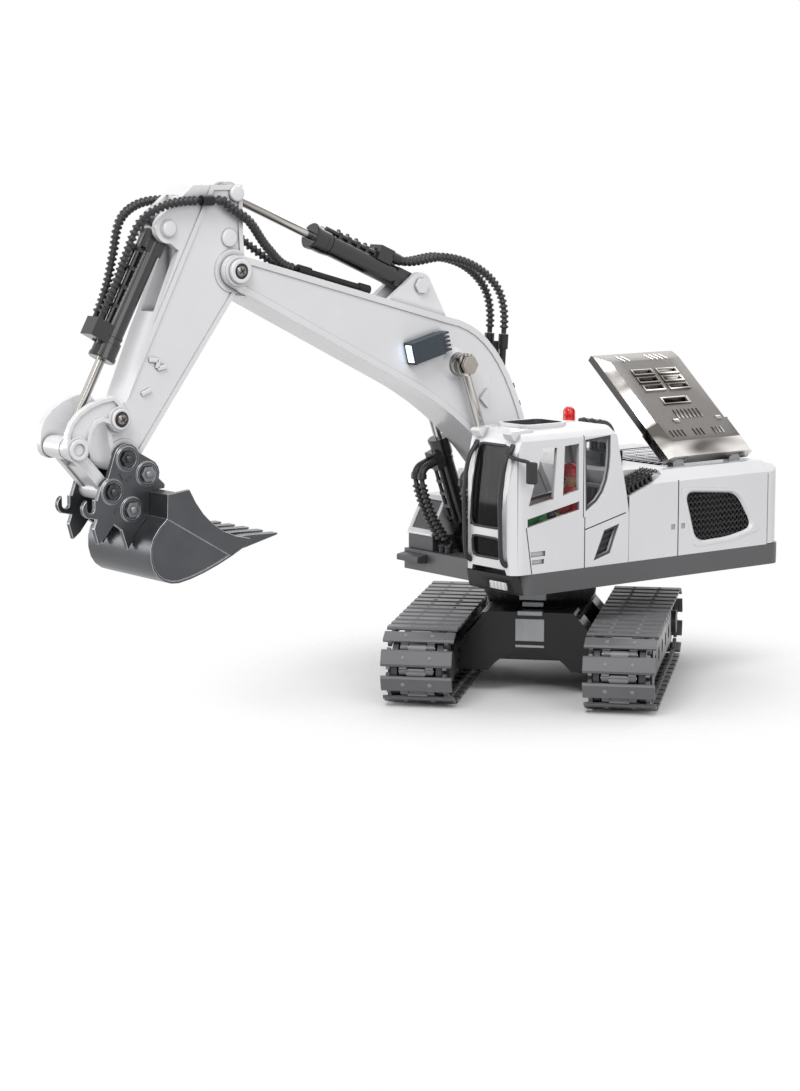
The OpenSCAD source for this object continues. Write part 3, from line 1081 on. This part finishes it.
module hose(route) {
    p = run(route, 8);
    d = lengths(p);
    total = d[len(d) - 1];
    n = floor((total - 2 * hose_d) / rib_pitch);
    step = (total - 2 * hose_d) / n;
    stations = concat([[0, hose_core_d]],
        flat([for (i = [0:n - 1]) [[hose_d + (i + 0.25) * step, hose_core_d],
        [hose_d + (i + 0.75) * step, hose_d]]]), [[total, hose_core_d]]);
    sides = 8;
    m = len(stations);
    mids = [for (s = stations) at_length(p, s[0], d)];
    ways = [for (s = stations) at_length(p, min(s[0] + 0.5, total), d) - at_length(p, max(s[0] - 0.5, 0),
        d)];
    outer = flat([for (i = [0:m - 1]) ring(mids[i], ways[i], stations[i][1] / 2, sides)]);
    inner_at = [for (i = [0:m - 1]) if (i == 0 || i == m - 1 || i % 2 == 0) i];
    inner = flat([for (i = inner_at) ring(mids[i], ways[i], hose_bore_d / 2, sides / 2)]);
    b0 = m * sides;
    h = sides / 2;
    last = b0 + (len(inner_at) - 1) * h;
    e = (m - 1) * sides;
    polyhedron(concat(outer, inner), concat(
        flat([for (i = [0:m - 2], k = [0:sides - 1])
            let (a = i * sides + k, b = i * sides + (k + 1) % sides)
            [[a, a + sides, b + sides], [a, b + sides, b]]]),
        flat([for (i = [0:len(inner_at) - 2], k = [0:h - 1])
            let (a = b0 + i * h + k, b = b0 + i * h + (k + 1) % h)
            [[a, b + h, a + h], [a, b, b + h]]]),
        flat([for (k = [0:h - 1]) let (q = 2 * k, r = 2 * k + 1, s = (2 * k + 2) % sides, a = b0 + k,
            b = b0 + (k + 1) % h)
            [[q, r, a], [r, b, a], [r, s, b]]]),
        flat([for (k = [0:h - 1]) let (q = e + 2 * k, r = e + 2 * k + 1, s = e + (2 * k + 2) % sides,
            a = last + k, b = last + (k + 1) % h)
            [[q, a, r], [r, a, b], [r, b, s]]])));
}
// A route in the side plane, with its own place across the machine at each point
function route(p, y) = [for (i = [0:len(p) - 1]) [p[i][0], y[i], p[i][1]]];
// Place on a cylinder's hose block: s along the barrel from its foot, h out from its axis
function on_barrel(base, a, s, h) = base + s * [cos(a), sin(a)] + h * [-sin(a), cos(a)];

boom_cyl_a = tilt(cyl_base, rod_pin);
boom_block = boom_barrel_d / 2 + 2.8;
module hoses_boom_cylinder(s) color("#1b1b1d") for (k = [-1, 1]) hose(route(
    [on_barrel(cyl_base, boom_cyl_a, boom_barrel_l - 8, -boom_block),
        on_barrel(cyl_base, boom_cyl_a, boom_barrel_l - 8, -boom_block - hose_d),
    cyl_base + [25, 26], cyl_base + [20, 12], [cyl_base[0] + 12, deck_top + hose_d + 1.5],
        [cyl_base[0] + 11, deck_top + seat + hose_d], [cyl_base[0] + 11, deck_top + seat]],
    [for (i = [0:6]) boom_y + s * boom_cyl_y + k * 2]));
module hoses_boom_cylinder_left() hoses_boom_cylinder(1);
module hoses_boom_cylinder_right() hoses_boom_cylinder(-1);

arm_cyl_a = tilt(arm_cyl_base, arm_rod_pin);
arm_block = arm_barrel_d / 2 + 2.3;
module hoses_arm_cylinder() color("#1b1b1d") for (k = [-1, 1]) hose(route(
    [on_barrel(arm_cyl_base, arm_cyl_a, 14.5 - seat, arm_block),
        on_barrel(arm_cyl_base, arm_cyl_a, 14.5 - seat - hose_d, arm_block),
    elbow + [-4, 23], elbow + [-20, 18.6], elbow + [-31, 9],
    back_start + (hose_d + seat) * back_dir, back_start + seat * back_dir],
    boom_y * [1, 1, 1, 1, 1, 1, 1] + k * [2, 2, 2.6, 3.4, 4.2, pipe_y, pipe_y]));
module hoses_boom_arm() color("#1b1b1d") for (k = [-1, 1]) hose(route(
    [on_top(70 + seat, coupling_d / 2 + seat), on_top(70 + seat + hose_d, coupling_d / 2 + seat),
        tip + [-17, 8], tip + [-6, 18],
    tip + [2, 23], [arm_clip[0] - 2.5 - seat - hose_d, arm_clip[1]],
        [arm_clip[0] - 2.5 - seat, arm_clip[1]]],
    boom_y * [1, 1, 1, 1, 1, 1, 1] + k * [2.2, 2.2, 5.4, 9.6, clip_y + 0.2, clip_y, clip_y]));
bucket_cyl_a = tilt(bucket_cyl_base, rod_link_pin);
bucket_block = arm_barrel_d / 2 + 3.9;
bucket_entry = bucket_barrel_l - 9 - block_l / 2 - seat;
module hoses_bucket_cylinder() color("#1b1b1d") for (k = [-1, 1]) hose(route(
    [[arm_clip[0] + 2.5 + seat, arm_clip[1]], [arm_clip[0] + 2.5 + seat + hose_d, arm_clip[1]],
    bucket_cyl_base + [3, 8.4], bucket_cyl_base + [12, 2.6],
    on_barrel(bucket_cyl_base, bucket_cyl_a, 16, bucket_block + 2.2),
    on_barrel(bucket_cyl_base, bucket_cyl_a, 27, bucket_block + 0.5),
    on_barrel(bucket_cyl_base, bucket_cyl_a, bucket_entry - hose_d, bucket_block),
    on_barrel(bucket_cyl_base, bucket_cyl_a, bucket_entry, bucket_block)],
    boom_y * [1, 1, 1, 1, 1, 1, 1, 1] + k * [clip_y, clip_y, 9.4, 7, 4.4, 2.8, 1.95, 1.95]));
pump_top = roof_z + 9 + seat;
module hose_bundle() color("#1b1b1d") for (k = [-1, 0, 1]) hose(route(
    [back_end + seat * back_end_dir, back_end + (hose_d + seat) * back_end_dir, [-5, roof_z + 12],
        [-13, roof_z + 13], [pump[0] + 2, roof_z + 17], [pump[0] - 1, pump_top + hose_d],
        [pump[0] - 1, pump_top]],
    [0, 0, 3, 7, 12, 14.5, 14.5] + boom_y * [1, 1, 1, 1, 1, 1, 1] + k * [pipe_y, pipe_y, 4.4, 4.6, 5, 5,
        5]));

chassis_frame();
belly_cover();
track_frame_left();
track_frame_right();
track_links_left();
track_links_right();
track_pins();
drive_motors();
sprocket_left();
sprocket_right();
idler_left();
idler_right();
deck();
front_skirt();
house_shell();
counterweight();
side_grilles();
tool_box();
pump_block();
beacon();
mesh_plate();
battery_pack();
control_board();
slew_motor();
boom_bracket();
house_pins();
cab_shell();
cab_glass();
cab_interior();
driver_seat();
driver();
cab_trim();
hood();
boom_half_left();
boom_half_right();
boom_lamps();
boom_bolts();
boom_pipes();
boom_barrel_left();
boom_barrel_right();
boom_rod_left();
boom_rod_right();
arm_shell();
arm_bolts();
arm_barrel();
arm_rod();
bucket_barrel();
bucket_rod();
rocker();
link();
coupler();
bucket();
coupler_bolts();
hoses_boom_cylinder_left();
hoses_boom_cylinder_right();
hoses_arm_cylinder();
hoses_boom_arm();
hoses_bucket_cylinder();
hose_bundle();
